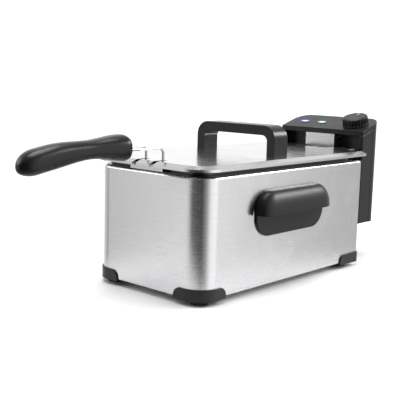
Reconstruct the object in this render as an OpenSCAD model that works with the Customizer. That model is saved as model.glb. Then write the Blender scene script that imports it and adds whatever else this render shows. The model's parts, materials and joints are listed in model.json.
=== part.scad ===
// Deep fryer with a lift-out pot, basket, lid and control unit.
// Units are mm, +Z is up, the front with the basket handle faces -Y.
// The origin is the middle of the whole fryer's box, on the surface it stands on.

/* [Housing] */
// Width of the steel housing
body_w = 202; // [170:1:250]
// Length of the steel housing, front to back
body_l = 363; // [300:1:430]
// Height of the steel sheet
body_h = 156; // [125:1:190]
// Radius of the two upright front corners
corner_r = 28; // [22:1:36]
// Thickness of the steel sheet
sheet_t = 1; // [0.8:0.1:1.5]
// Radius of the rolled top edge
rim_r = 4; // [3:0.5:5]
// Height of the sheet's lower edge above the table
base_h = 10; // [9:1:18]

/* [Feet] */
// Length of a corner foot along each side
foot_arm = 47; // [42:1:60]
// Height of a corner foot
foot_h = 16; // [12:1:20]
// How far a foot stands out of the sheet
foot_out = 2; // [1:0.5:4]
// Outer radius of a rubber pad
pad_r = 11; // [8:1:12]

/* [Carry handles] */
// Length of a carry handle
carry_l = 162; // [130:1:190]
// Height of a carry handle's backing plate
carry_h = 64; // [50:1:72]
// Reach of the scoop beyond its plate
carry_out = 19; // [16:1:26]
// Height of a carry handle's lower edge above the sheet's lower edge
carry_z = 68; // [55:1:80]

/* [Pot] */
// Gap between the pot wall and the housing's outside
pot_gap = 9; // [8:1:14]
// Thickness of the enamelled pot wall
pot_t = 1.2; // [1:0.1:2]
// Depth of the pot below the lid
pot_depth = 131; // [105:1:145]

/* [Lid] */
// Overhang of the lid beyond the housing's sides
lid_over = 5; // [3:0.5:8]
// Overhang of the lid beyond the housing's front
lid_nose = 7.5; // [5:0.5:12]
// Height of the lid's flat top above the sheet's top edge
lid_rise = 13.7; // [12.5:0.1:17]
// Thickness of the lid sheet
lid_t = 1; // [0.8:0.1:1.5]
// Width of the lid's sloped border
border_w = 9; // [6:0.5:12]
// Drop of the lid's sloped border
border_drop = 3.6; // [2:0.2:5]
// Height of the skirt below the sloped border
skirt_h = 3.4; // [2:0.2:5]
// Width of each slot for the basket handle's wires
slot_w = 7; // [6:0.5:10]

/* [Lid handle] */
// Width of the lid handle
bow_w = 147; // [110:1:170]
// Depth of the lid handle, front to back
bow_d = 30; // [22:1:36]
// Height of the lid handle
bow_h = 43; // [36:1:56]
// Thickness of the lid handle's legs and bar
bow_t = 14; // [11:1:17]

/* [Control head] */
// Width of the control head
head_w = 161; // [140:1:166]
// Distance from the housing's rear to the head's cheeks
head_gap = 36; // [32:1:46]
// Depth of the control head
head_d = 58.5; // [52:0.5:72]
// Height of the head's front top edge above the lid
head_rise = 28.5; // [26:0.5:40]
// Rise of the sloping panel towards the rear, in degrees
panel_tilt = 16.9; // [10:0.1:22]
// Height of the head's lower edge above the table
head_z = 58; // [45:1:75]
// Wall thickness of the head's mouldings
head_t = 2.5; // [2:0.1:3]
// Height of the side band of the top cover
cover_h = 7.5; // [6.5:0.5:10]
// Depth of the recess between the cheeks
recess_d = 19; // [16:1:22]

/* [Knob] */
// Outer diameter of the thermostat knob
knob_d = 43; // [34:1:48]
// Height of the thermostat knob
knob_h = 15; // [11:1:20]
// Diameter of the knob's shaft
shaft_d = 6; // [5:0.5:8]

/* [Basket] */
// Width of the basket over its rim
basket_w = 164; // [130:1:166]
// Height of the basket
basket_h = 94; // [70:1:98]
// Wire diameter of the handle fork
fork_d = 3.5; // [3:0.1:4.5]
// Distance between the fork's two wires
fork_pitch = 32; // [26:1:40]
// Length of the handle grip
grip_l = 159; // [135:1:190]
// Height of the grip at its round end
grip_h = 30; // [26:1:38]

/* [Hidden] */
$fn = 64;
// Clearance between parts that lift apart
lift_gap = 0.2;
// Radial clearance of parts that turn or slide in a hole
run_gap = 0.06;
// Overshoot of cutting shapes
cut = 1;
hx = body_w / 2;
hy = body_l / 2;
z_base = base_h;
z_top = base_h + body_h;
z_lid = z_top + lid_rise;
z_lid_under = z_lid - lid_t;
flange_t = 1.2;
flange_in = pot_gap - rim_r - 1.5;
return_w = 14;
panel_t = 2;
foot_floor = 3.8;
foot_plate = 38;
// Pot
pot_w = body_w - 2 * pot_gap;
pot_front = -hy + pot_gap - 1;
pot_rear = hy - pot_gap;
pot_l = pot_rear - pot_front;
pot_y = (pot_rear + pot_front) / 2;
pot_r = corner_r - 6;
pot_z = z_lid_under - pot_depth;
pot_notch_w = 144;
// Control unit
head_y = hy + head_gap;
head_rear = head_y + head_d;
head_x = head_w / 2;
z_panel = z_lid + head_rise;
cheek_t = 7;
recess_x = head_x - cheek_t;
recess_y = head_y + recess_d;
z_shelf = z_lid_under - 2.5;
shelf_t = 1;
split_y = head_y + head_d * 0.52;
head_rear_r = 950;
head_corner_r = 25;
box_w = 56;
box_h = 23;
box_t = 1.2;
box_y = head_y - 2.5;
tube_end = head_y - 0.5;
channel_gap = 0.5;
z_channel = z_top + 3;
hook_w = 132;
hook_in = pot_rear - 12;
hook_low = z_base + 70;
rail_w = 14;
rail_x = 42;
rail_t = 4;
// Heating element
tube_r = 3.25;
tube_x = 11;
z_tube = z_channel + 1 + tube_r + 1.2;
coil_z = pot_z + pot_t + 9;
coil_out = pot_w / 2 - 28;
coil_in = coil_out - 30;
coil_front = pot_front + 50;
coil_rear = hook_in - 45;
guard_y = hook_in - 1.2;
drop_y = guard_y - tube_r - 2.5;
tube_bend = 9;

sensor_x = box_w / 2 - 9;
sensor_z = z_channel + 5.2;
sensor_tube_r = 1.4;
sensor_bend = 6;
bulb_r = 2.6;
bulb_l = 26;
bulb_rise = 36;
// Lid
lid_x = hx + lid_over;
lid_front = -hy - lid_nose;
lid_rear = hy + 6;
lid_l = lid_rear - lid_front;
lid_y = (lid_rear + lid_front) / 2;
lid_r = corner_r + lid_over + 1;
tongue_x = recess_x - 1.5;
tongue_y = head_y - 3.5;
notch_x = box_w / 2 + 3;
notch_y = hy + 7.5;
bow_y = 10;
bow_out_r = 20;
bow_in_r = 9;
bow_screw_r = 2;
// Basket
basket_front = pot_front + pot_t + 12;
basket_rear = drop_y - tube_r - 5;
basket_l = basket_rear - basket_front;
basket_y = (basket_rear + basket_front) / 2;
basket_r = 22;
basket_z = coil_z + tube_r + 8;
rim_wire_r = 2;
net_t = 1;
foot_wire_r = 1.5;
weld = 0.3;
fork_r = fork_d / 2;
fork_x = fork_pitch / 2;
fork_y = basket_front - rim_wire_r - 3.2 - fork_r;
fork_bend = 9;
fork_rise = 17;
z_fork = z_lid + fork_rise;
slot_y = fork_y + fork_r + 3;
grip_rear = lid_front - 34;
grip_front = grip_rear - grip_l;
grip_w = 32;
grip_neck_w = 28;
grip_rear_w = fork_pitch + fork_d + 4.5;
// The whole fryer's box is centred on the origin
y_shift = -(grip_front + head_rear) / 2;
// Knob and lamps, measured on the sloping panel
panel_l = head_d / cos(panel_tilt);
knob_x = 49;
knob_s = panel_l * 0.46;
knob_lift = 0.6;
// The thermostat stands just behind the recess's rear wall
thermostat_w = 30;
thermostat_l = 22;
thermostat_front = (recess_d + head_t + 0.6 - head_t * sin(panel_tilt)) / cos(panel_tilt) - knob_s;
knob_ribs = 24;
lens_s = panel_l * 0.44;
lens_x = [-50.5, -16];
lens_l = 20;
lens_h = 9;
// Reset button and cord gland in the back
reset_x = 40;
reset_z = z_panel - 70;
reset_r = 4;
gland_x = -45;
gland_z = head_z + 24;
gland_r = 7;

// ---------- shared shapes ----------

// Plan outline with its own radii for the front and rear corners
module plan(w, l, rf, rb) {
  translate([-w / 2, -l / 2 + rf])
    square([w, l - rf - rb]);
  translate([-w / 2 + rf, -l / 2])
    square([w - 2 * rf, l - rb]);
  translate([-w / 2 + rb, -l / 2 + rf])
    square([w - 2 * rb, l - rf]);
  for (s = [-1, 1]) {
    translate([s * (w / 2 - rf), -l / 2 + rf])
      circle(rf);
    translate([s * (w / 2 - rb), l / 2 - rb])
      circle(rb);
  }
}

// A run of a section along Y; the section's x points outwards and its y points up
module run(len) {
  rotate([90, 0, 0])
    translate([0, 0, -len / 2])
      linear_extrude(len)
        children();
}

// A section carried round the sides and the front, open at the rear
module u_sweep(w, l, r) {
  for (m = [0, 1]) mirror([m, 0, 0]) {
    translate([w / 2, r / 2, 0])
      run(l - r) children();
    translate([w / 2 - r, -l / 2 + r, 0])
      rotate([0, 0, -90])
        rotate_extrude(angle = 90)
          translate([r, 0])
            children();
  }
  translate([0, -l / 2, 0])
    rotate([0, 0, -90])
      run(w - 2 * r) children();
}

// A section carried all the way round
module ring_sweep(w, l, r) {
  translate([0, -r / 2, 0])
    u_sweep(w, l - r, r) children();
  for (s = [0, 1])
    translate([(s == 0 ? 1 : -1) * (w / 2 - r), l / 2 - r, 0])
      rotate([0, 0, s * 90])
        rotate_extrude(angle = 90)
          translate([r, 0])
            children();
  translate([0, l / 2, 0])
    rotate([0, 0, 90])
      run(w - 2 * r) children();
}

// Round bar between two points, with a ball at its far end
module bar(p, q, r) {
  v = q - p;
  len = norm(v);
  translate(p)
    rotate([0, acos(v[2] / len), atan2(v[1], v[0])])
      cylinder(r = r, h = len, $fn = 32);
  translate(q)
    sphere(r, $fn = 32);
}

// Box from its smallest to its largest corner
module span(a, b) {
  translate(a)
    cube(b - a);
}

module placed() {
  translate([0, y_shift, 0])
    children();
}

// ---------- housing ----------

module rim_section() {
  intersection() {
    translate([-rim_r, body_h - rim_r])
      difference() {
        circle(rim_r);
        circle(rim_r - sheet_t);
      }
    translate([-rim_r, body_h - rim_r])
      square(rim_r);
  }
  translate([-rim_r - flange_in, body_h - sheet_t])
    square([flange_in, sheet_t]);
  translate([-sheet_t, 0])
    square([sheet_t, body_h - rim_r]);
}

module housing_shell() {
  color("silver") placed() translate([0, 0, z_base]) difference() {
    union() {
      u_sweep(body_w, body_l, corner_r) rim_section();
      for (s = [-1, 1])
        translate([s * (hx - return_w / 2) - return_w / 2, hy - sheet_t, 0])
          cube([return_w, sheet_t, body_h]);
    }
    carry_screw_holes(carry_screw_r + 0.1);
  }
}

module rear_panel() {
  color("dimgray") placed() {
    span([-hx + sheet_t, hy - sheet_t - panel_t, z_base], [hx - sheet_t, hy - sheet_t, z_top - rim_r]);
    span([-hx + rim_r + flange_in, hy - sheet_t - panel_t, z_base],
         [hx - rim_r - flange_in, hy - sheet_t, z_top]);
  }
}

base_z = 2;
base_t = 1.5;
module base_plate() {
  base_l = body_l - 2 * sheet_t - panel_t;
  color("gray") placed() difference() {
    translate([0, -panel_t / 2, z_base + base_z])
      linear_extrude(base_t)
        plan(body_w - 2 * sheet_t, base_l, corner_r + 4, 3);
    at_feet()
      translate([0, 0, z_base + base_z - cut])
        cylinder(r = foot_screw_r + 0.1, h = base_t + 2 * cut);
    for (x = [-2 : 2])
      for (y = [-3 : 3])
        translate([x * 22, y * 24, z_base + base_z - cut])
          cylinder(r = 4, h = base_t + 2 * cut);
  }
}

module rear_rails() {
  color("dimgray") placed()
    for (s = [-1, 1])
      translate([s * rail_x - rail_w / 2, hy - sheet_t, z_base + 12])
        cube([rail_w, rail_t + sheet_t, body_h - 36]);
}

// ---------- feet ----------

foot_screw_r = 1.8;
pad_in = 20;

module at_feet() {
  for (x = [-1, 1])
    for (y = [-1, 1])
      translate([x * (hx - pad_in), y * (hy - pad_in), 0])
        children();
}

// Rounds the top corner of a foot's arm; the arm runs along +Y and ends at y = 0
module arm_end(r, thick) {
  translate([0, -cut, foot_h - r])
    rotate([90, 0, 90])
      linear_extrude(thick)
        difference() {
          square([r + cut, r + cut]);
          translate([r + cut, 0])
            circle(r);
        }
}

// One foot in the corner at +X; end is -1 at the front and 1 at the rear
module corner_foot(end) {
  rr = end < 0 ? corner_r : 0.01;
  reach = foot_plate + foot_out;
  difference() {
    intersection() {
      translate([0, 0, z_base - foot_floor])
        linear_extrude(foot_h)
          plan(body_w + 2 * foot_out, body_l + 2 * foot_out, corner_r + foot_out, 3);
      union() {
        translate([hx - foot_plate, end < 0 ? -hy - foot_out : hy - foot_arm, 0])
          cube([reach, foot_arm + foot_out, z_top]);
        translate([hx - foot_arm, end < 0 ? -hy - foot_out : hy - foot_plate, 0])
          cube([foot_arm + foot_out, reach, z_top]);
      }
    }
    translate([0, 0, z_base])
      linear_extrude(foot_h)
        plan(body_w, body_l, corner_r, rr);
    translate([hx - cut, end * (hy - foot_arm), z_base - foot_floor])
      mirror([0, end < 0 ? 1 : 0, 0])
        arm_end(foot_h * 0.7, foot_out + 2 * cut);
    translate([hx - foot_arm, end * (hy - cut), z_base - foot_floor])
      mirror([0, end < 0 ? 1 : 0, 0])
        rotate([0, 0, -90])
          mirror([1, 0, 0])
            arm_end(foot_h * 0.7, foot_out + 2 * cut);
    at_feet()
      cylinder(r = foot_screw_r + 0.1, h = z_top);
  }
  translate([hx - pad_in, end * (hy - pad_in), z_base])
    difference() {
      cylinder(r = 5, h = base_z);
      translate([0, 0, -cut])
        cylinder(r = foot_screw_r + 0.1, h = base_z + 2 * cut);
    }
}

module foot_front_left() {
  color("darkslategray") placed() mirror([1, 0, 0]) corner_foot(-1);
}

module foot_front_right() {
  color("darkslategray") placed() corner_foot(-1);
}

module foot_rear_left() {
  color("darkslategray") placed() mirror([1, 0, 0]) corner_foot(1);
}

module foot_rear_right() {
  color("darkslategray") placed() corner_foot(1);
}

module foot_pads() {
  color("black") placed() at_feet() difference() {
    cylinder(r = pad_r, h = z_base - foot_floor);
    translate([0, 0, -cut])
      cylinder(r = 5, h = z_base + cut);
  }
}

module foot_screws() {
  color("silver") placed() at_feet() {
    translate([0, 0, z_base - foot_floor - 2])
      cylinder(r = 3.4, h = 2);
    translate([0, 0, z_base - foot_floor - 0.5])
      cylinder(r = foot_screw_r, h = foot_floor + base_z + base_t + 3);
  }
}

// ---------- carry handles ----------

carry_plate_t = 3;
carry_wall = 3;
carry_screw_r = 2;
carry_screw_y = carry_l * 0.3;
carry_end_r = carry_h * 0.42;
scoop_h = carry_h * 0.52;
scoop_wide = 4;

// Places of the two screws of each handle, measured from the sheet's lower edge
module at_carry_screws() {
  for (s = [-1, 1])
    translate([0, s * carry_screw_y, carry_z + carry_h * 0.3])
      rotate([0, 90, 0])
        children();
}

module carry_screw_holes(r) {
  for (s = [-1, 1])
    translate([s * hx - 3, 0, 0])
      at_carry_screws() cylinder(r = r, h = 6);
}

// Rounded oblong in the YZ plane, pushed out along +X
module oblong_x(l, h, r, t) {
  rotate([90, 0, 90])
    linear_extrude(t)
      plan(l, h, r, r);
}

module carry_plate() {
  difference() {
    translate([hx, 0, z_base + carry_z + carry_h / 2])
      oblong_x(carry_l - 2 * scoop_wide, carry_h, carry_end_r, carry_plate_t);
    translate([hx - cut, 0, z_base])
      at_carry_screws() cylinder(r = carry_screw_r, h = carry_plate_t - 0.6 + cut);
  }
}

// Convex hood of the handle: an arc from the top edge down to its lip
module hood(l, drop_r, inset) {
  c = (carry_out * carry_out - scoop_h * scoop_h) / (2 * carry_out);
  r = carry_out - c - inset;
  intersection() {
    translate([0, l / 2, 0])
      rotate([90, 0, 0])
        linear_extrude(l)
          intersection() {
            translate([c, 0])
              circle(r, $fn = 96);
            translate([0, -cut])
              square([carry_out + cut, scoop_h + 2 * cut]);
          }
    translate([-cut, 0, scoop_h - carry_h / 2 - inset])
      oblong_x(l, carry_h, drop_r, carry_out + 2 * cut);
  }
}

module carry_scoop() {
  translate([hx + carry_plate_t, 0, z_base + carry_z + carry_h - scoop_h]) difference() {
    intersection() {
      hood(carry_l, carry_end_r, 0);
      translate([0, -carry_l, 0])
        cube([carry_out + cut, 2 * carry_l, scoop_h + cut]);
    }
    difference() {
      hood(carry_l - 2 * carry_wall, carry_end_r - carry_wall, carry_wall);
      translate([-cut, -carry_l, scoop_h - carry_wall])
        cube([carry_wall + cut, 2 * carry_l, 2 * carry_wall]);
    }
  }
}

module carry_plate_left() {
  color("black") placed() mirror([1, 0, 0]) carry_plate();
}

module carry_plate_right() {
  color("black") placed() carry_plate();
}

module carry_scoop_left() {
  color("dimgray") placed() mirror([1, 0, 0]) carry_scoop();
}

module carry_scoop_right() {
  color("dimgray") placed() carry_scoop();
}

module carry_screws() {
  color("silver") placed() translate([0, 0, z_base])
    for (m = [0, 1]) mirror([m, 0, 0]) {
      translate([hx - sheet_t - 2, 0, 0])
        at_carry_screws() cylinder(r = 3.6, h = 2);
      translate([hx - sheet_t - 0.5, 0, 0])
        at_carry_screws() cylinder(r = carry_screw_r, h = sheet_t + carry_plate_t - 0.1);
    }
}

// ---------- pot ----------

module inner_pot() {
  flange_w = pot_gap - rim_r * 0.6;
  color("#222") placed() difference() {
    union() {
      translate([0, pot_y, pot_z])
        linear_extrude(pot_depth)
          plan(pot_w, pot_l, pot_r, pot_r);
      translate([0, pot_y, z_top])
        linear_extrude(flange_t)
          plan(pot_w + 2 * flange_w, pot_l + 2 * flange_w - 2, pot_r + flange_w, pot_r + flange_w);
    }
    translate([0, pot_y, pot_z + pot_t])
      linear_extrude(pot_depth)
        plan(pot_w - 2 * pot_t, pot_l - 2 * pot_t, pot_r - pot_t, pot_r - pot_t);
    span([-pot_notch_w / 2, pot_rear - pot_r - 2, z_top + flange_t],
         [pot_notch_w / 2, hy + cut, z_lid + cut]);
  }
}

rest_w = 60;
rest_gap = 2.5;
module basket_rest() {
  front = -hy - 0.5;
  color("gray") placed() difference() {
    union() {
      span([-rest_w / 2, front, z_top + flange_t], [rest_w / 2, front + 1, z_lid_under - rest_gap]);
      span([-rest_w / 2, front, z_top + flange_t], [rest_w / 2, pot_front, z_top + flange_t + 1]);
    }
    for (s = [-1, 1])
      translate([s * (rest_w / 2 - 8), front - cut, z_top + flange_t + 6])
        rotate([-90, 0, 0])
          cylinder(r = 1.6, h = 4);
  }
}

// ---------- control unit ----------

// Moves to a place on the sloping panel: x across, s up the slope, z out of it
module on_panel(x, s) {
  translate([x, head_y, z_panel])
    rotate([panel_tilt, 0, 0])
      translate([0, s, 0])
        children();
}

// Everything more than depth below the sloping panel
module below_panel(depth) {
  on_panel(0, 0)
    translate([-head_w, -head_w, -depth - 4 * head_w])
      cube([2 * head_w, 4 * head_w, 4 * head_w]);
}

// The head's outer form, moved in by an inset all round
module head_form(inset) {
  w = head_w - 2 * inset;
  d = head_d - 2 * inset;
  r = head_corner_r - inset;
  h = z_panel + head_d;
  intersection() {
    translate([0, head_y + head_d / 2, head_z + inset])
      linear_extrude(h)
        plan(w, d, 1, r);
    translate([-head_w, head_rear - inset - (head_rear_r - inset), z_panel - 8])
      rotate([0, 90, 0])
        cylinder(r = head_rear_r - inset, h = 2 * head_w, $fn = 128);
  }
}

module recess(grow) {
  span([-recess_x - grow, head_y - 60, z_shelf - grow],
       [recess_x + grow, recess_y + grow, z_panel + head_d]);
}

// Shell of the head with the recess between its cheeks
module head_case() {
  difference() {
    intersection() {
      head_form(0);
      below_panel(cover_h);
    }
    difference() {
      head_form(head_t);
      recess(head_t);
    }
    recess(0);
    span([-box_w / 2 + 4, recess_y - cut, z_shelf + shelf_t + 4],
         [box_w / 2 - 4, recess_y + head_t + cut, z_shelf + shelf_t + box_h - 4]);
    at_head_screws() {
      translate([0, 0, -8])
        cylinder(r = head_screw_r + 0.1, h = 10);
      cylinder(r = 3.1, h = 10);
    }
    translate([reset_x, head_rear, reset_z])
      rotate([90, 0, 0])
        cylinder(r = reset_r + run_gap, h = 30, center = true);
    translate([gland_x, head_rear, gland_z])
      rotate([90, 0, 0])
        cylinder(r = gland_r, h = 60, center = true);
    for (i = [0 : 5])
      span([-22, split_y + 6, z_shelf - 70 + i * 8], [22, head_rear + cut, z_shelf - 66 + i * 8]);
  }
}

// Place of the head's curved rear face at a height
function rear_at(z) = head_rear - head_rear_r + sqrt(pow(head_rear_r, 2) - pow(z - z_panel + 8, 2));

head_screw_r = 1.6;
screw_sink = 1.4;
module at_head_screws() {
  for (s = [-1, 1])
    for (z = [head_z + 14, z_panel - 24])
      translate([s * (head_x - head_corner_r - 4), rear_at(z) - screw_sink, z])
        rotate([-90, 0, 0])
          children();
}

module head_shell() {
  color("#333") placed() difference() {
    intersection() {
      head_case();
      span([-head_w, 0, 0], [head_w, split_y, z_panel + head_d]);
    }
    shelf_key();
  }
}

// Room for the hook block's fixing tongue in the head's front wall
module shelf_key() {
  span([-20, head_y - cut, hook_low + 20], [20, head_y + head_t + cut, hook_low + 50]);
}

module head_back() {
  color("#2a2a2a") placed() intersection() {
    head_case();
    span([-head_w, split_y, 0], [head_w, head_rear + 20, z_panel + head_d]);
  }
}

// Pointed oval of an indicator window
module lens_outline(grow) {
  r = (lens_l * lens_l / 4 + lens_h * lens_h / 4) / lens_h;
  intersection_for (s = [-1, 1])
    translate([0, s * (r - lens_h / 2)])
      circle(r + grow, $fn = 96);
}

module head_cover() {
  color("#444") placed() difference() {
    intersection() {
      head_form(0);
      below_panel(0);
    }
    below_panel(cover_h);
    intersection() {
      head_form(head_t);
      below_panel(head_t);
    }
    for (x = lens_x)
      on_panel(x, lens_s)
        translate([0, 0, -1])
          linear_extrude(2)
            lens_outline(0.1);
    on_panel(knob_x, knob_s)
      cylinder(r = shaft_d / 2 + 0.6, h = 20, center = true);
  }
}

module hook_block() {
  color("#222") placed() difference() {
    union() {
      span([-hook_w / 2, hy + rail_t + 1.5, hook_low], [hook_w / 2, head_y, z_shelf]);
      span([-hook_w / 2, hook_in, z_top + flange_t + lift_gap], [hook_w / 2, hy + rail_t + 2, z_shelf - 3]);
      span([-20, head_y - 1, hook_low + 20], [20, head_y + head_t, hook_low + 50]);
    }
    span([-box_w / 2 - channel_gap, hook_in - cut, z_channel],
         [box_w / 2 + channel_gap, head_y - 0.01, z_lid]);
    for (s = [-1, 1])
      span([s * rail_x - rail_w / 2 - 1, hy, hook_low - cut],
           [s * rail_x + rail_w / 2 + 1, hy + rail_t + 3, z_top - 20]);
  }
}

module bridge_plate() {
  front = hy + rail_t + 6;
  color("silver") placed() difference() {
    span([-hook_w / 2, front, z_shelf], [hook_w / 2, recess_y, z_shelf + shelf_t]);
    span([-box_w / 2 - channel_gap, front - cut, z_shelf - cut],
         [box_w / 2 + channel_gap, head_y, z_shelf + 2 * cut]);
  }
}

module element_box() {
  color("lightgray") placed() difference() {
    union() {
      difference() {
        span([-box_w / 2, box_y, z_shelf + shelf_t], [box_w / 2, recess_y, z_shelf + shelf_t + box_h]);
        span([-box_w / 2 + box_t, box_y + box_t, z_shelf],
             [box_w / 2 - box_t, recess_y + cut, z_shelf + shelf_t + box_h - box_t]);
      }
      span([-box_w / 2, box_y, z_channel + 1], [box_w / 2, box_y + box_t, z_shelf + shelf_t + cut]);
    }
    for (s = [-1, 1])
      translate([s * tube_x, box_y - cut, z_tube])
        rotate([-90, 0, 0])
          cylinder(r = tube_r + 0.1, h = 4);
    translate([sensor_x, box_y - cut, sensor_z])
      rotate([-90, 0, 0])
        cylinder(r = sensor_tube_r + 0.1, h = 4);
  }
}

module element_guard() {
  low = coil_z + 10;
  color("gray") placed() difference() {
    union() {
      span([-box_w / 2, guard_y, z_channel], [box_w / 2, box_y + box_t, z_channel + 1]);
      span([-box_w / 2, guard_y, low], [box_w / 2, guard_y + 1.2, z_channel + 1]);
    }
    for (i = [0 : 3])
      translate([0, guard_y - cut, low + 14 + i * 20])
        rotate([-90, 0, 0])
          cylinder(r = 5, h = 4);
  }
}

// Bent tube from the origin along +Z. A step is its straight length, the angle of the bend
// after it, the side the bend turns to (an angle about the tube) and the bend's radius.
module bent_tube(steps, r, i = 0) {
  step = steps[i];
  a = step[1];
  bend = step[3];
  cylinder(r = r, h = step[0], $fn = 32);
  if (a > 0)
    translate([0, 0, step[0]])
      rotate([0, 0, step[2]]) {
        translate([bend, 0, 0])
          rotate([90, 0, 0])
            rotate([0, 0, 180 - a])
              rotate_extrude(angle = a)
                translate([bend, 0])
                  circle(r, $fn = 32);
        translate([bend * (1 - cos(a)), 0, bend * sin(a)])
          rotate([0, a, 0])
            bent_tube(steps, r, i + 1);
      }
}

// One side of the element: out of the box, down behind the basket, forward, back and to the middle
module element_side() {
  b = tube_bend;
  hairpin = (coil_out - coil_in) / 2;
  forward = drop_y - 2 * b - coil_front;
  translate([tube_x, tube_end, z_tube])
    rotate([90, 0, 0])
      bent_tube([
        [tube_end - drop_y - b, 90, -90, b],
        [z_tube - coil_z - 2 * b, 90, 90, b],
        [coil_out - tube_x - 2 * b, 90, 90, b],
        [forward + b, 180, 0, hairpin],
        [coil_rear - coil_front - b, 90, 180, b],
        [coil_in - b, 0, 0, 0]
      ], tube_r);
}

module heating_element() {
  color("dimgray") placed() {
    element_side();
    mirror([1, 0, 0])
      element_side();
  }
}

// Thin tube that runs under the lid and ends in the bulb behind the basket
module sensor_bulb() {
  bulb_y = drop_y + 3;
  bulb_top = coil_z + bulb_rise;
  color("goldenrod") placed() {
    translate([sensor_x, box_y - 3, sensor_z])
      rotate([-90, 0, 0])
        cylinder(r = 3.6, h = 3);
    translate([sensor_x, tube_end, sensor_z])
      rotate([90, 0, 0])
        bent_tube([
          [tube_end - bulb_y - sensor_bend, 90, -90, sensor_bend],
          [sensor_z - sensor_bend - bulb_top + 2, 0, 0, 0]
        ], sensor_tube_r);
    translate([sensor_x, bulb_y, bulb_top - bulb_l])
      cylinder(r = bulb_r, h = bulb_l);
  }
}

module thermostat_body() {
  color("ivory") placed() on_panel(knob_x, knob_s) difference() {
    translate([-thermostat_w / 2, thermostat_front, -head_t - 20])
      cube([thermostat_w, thermostat_l, 20]);
    translate([0, 0, -head_t - 17])
      cylinder(r = shaft_d / 2 + run_gap, h = 30);
  }
}

module thermal_cutout() {
  color("dimgray") placed()
    translate([reset_x, recess_y + head_t, reset_z])
      rotate([-90, 0, 0])
        cylinder(r = 9, h = 14);
}

module terminal_block() {
  color("ivory") placed()
    span([gland_x - 14, head_y + head_t, gland_z - 8], [gland_x + 14, head_y + head_t + 14, gland_z + 10]);
}

module microswitch() {
  color("black") placed()
    span([-14, head_y + head_t, hook_low + 56], [14, head_y + head_t + 10, hook_low + 70]);
}

module lens_piece(x) {
  placed() on_panel(x, lens_s)
    translate([0, 0, -1])
      linear_extrude(1.8)
        lens_outline(0);
}

module lamp_lens_heat() {
  color("blue") lens_piece(lens_x[0]);
}

module lamp_lens_power() {
  color("green") lens_piece(lens_x[1]);
}

module lamp_holders() {
  color("white") placed()
    for (x = lens_x)
      on_panel(x, lens_s)
        translate([0, 0, -head_t - 10])
          cylinder(r = 4.5, h = 10);
}

module head_screws() {
  color("silver") placed() at_head_screws() {
    cylinder(r = 3, h = screw_sink - 0.5);
    translate([0, 0, -9])
      cylinder(r = head_screw_r, h = 9.5);
  }
}

module cord_gland() {
  color("black") placed() translate([gland_x, 0, gland_z]) rotate([-90, 0, 0]) difference() {
    union() {
      translate([0, 0, head_rear - 34])
        cylinder(r = gland_r - 0.02, h = 31);
      translate([0, 0, head_rear - 36])
        cylinder(r = gland_r + 3, h = 4);
    }
    translate([0, 0, head_rear - 40])
      cylinder(r = 3.4, h = 50);
  }
}

module thermostat_knob() {
  color("gray") placed() on_panel(knob_x, knob_s) difference() {
    union() {
      translate([0, 0, knob_lift])
        cylinder(r = knob_d / 2 - 1.6, h = knob_h);
      translate([0, 0, knob_lift])
        cylinder(r = knob_d / 2, h = 2);
      for (i = [0 : knob_ribs - 1])
        rotate([0, 0, i * 360 / knob_ribs])
          translate([knob_d / 2 - 2.2, -1.1, knob_lift])
            cube([2.2, 2.2, knob_h - 3]);
    }
    translate([0, 0, -cut])
      cylinder(r = shaft_d / 2 + 0.02, h = 8 + cut);
    translate([-0.8, 6, knob_lift + knob_h - 1])
      cube([1.6, knob_d / 2 - 10, 2]);
  }
}

module knob_shaft() {
  color("silver") placed() on_panel(knob_x, knob_s)
    translate([0, 0, -head_t - 15])
      cylinder(r = shaft_d / 2, h = head_t + 23);
}

module reset_button() {
  color("red") placed() translate([reset_x, 0, reset_z]) rotate([-90, 0, 0]) {
    translate([0, 0, head_rear - 12])
      cylinder(r = reset_r, h = 10.5);
    translate([0, 0, head_rear - 7.8])
      cylinder(r = reset_r + 1.5, h = 2);
  }
}

// ---------- basket ----------

module basket_rim() {
  color("silver") placed() translate([0, basket_y, basket_z + basket_h])
    ring_sweep(basket_w - 2 * rim_wire_r, basket_l - 2 * rim_wire_r, basket_r)
      circle(rim_wire_r, $fn = 24);
}

module basket_net() {
  w = basket_w - 3 * rim_wire_r;
  l = basket_l - 3 * rim_wire_r;
  color("lightgray") placed() translate([0, basket_y, basket_z]) difference() {
    linear_extrude(basket_h - rim_wire_r + weld)
      plan(w, l, basket_r, basket_r);
    translate([0, 0, net_t])
      linear_extrude(basket_h)
        plan(w - 2 * net_t, l - 2 * net_t, basket_r - net_t, basket_r - net_t);
  }
}

module basket_feet() {
  z = basket_z - foot_wire_r + weld;
  color("silver") placed() {
    for (s = [-1, 1])
      bar([s * basket_w * 0.3, basket_front + 16, z],
          [s * basket_w * 0.3, basket_rear - 16, z], foot_wire_r);
    for (k = [-1, 0, 1])
      bar([-basket_w * 0.36, basket_y + k * basket_l * 0.3, z],
          [basket_w * 0.36, basket_y + k * basket_l * 0.3, z], foot_wire_r);
  }
}

module fork_socket() {
  color("silver") placed() {
    span([-fork_x - 5, fork_y + fork_r, basket_z + basket_h - 16],
         [fork_x + 5, basket_front + 0.4, basket_z + basket_h + 3]);
  }
}

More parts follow.
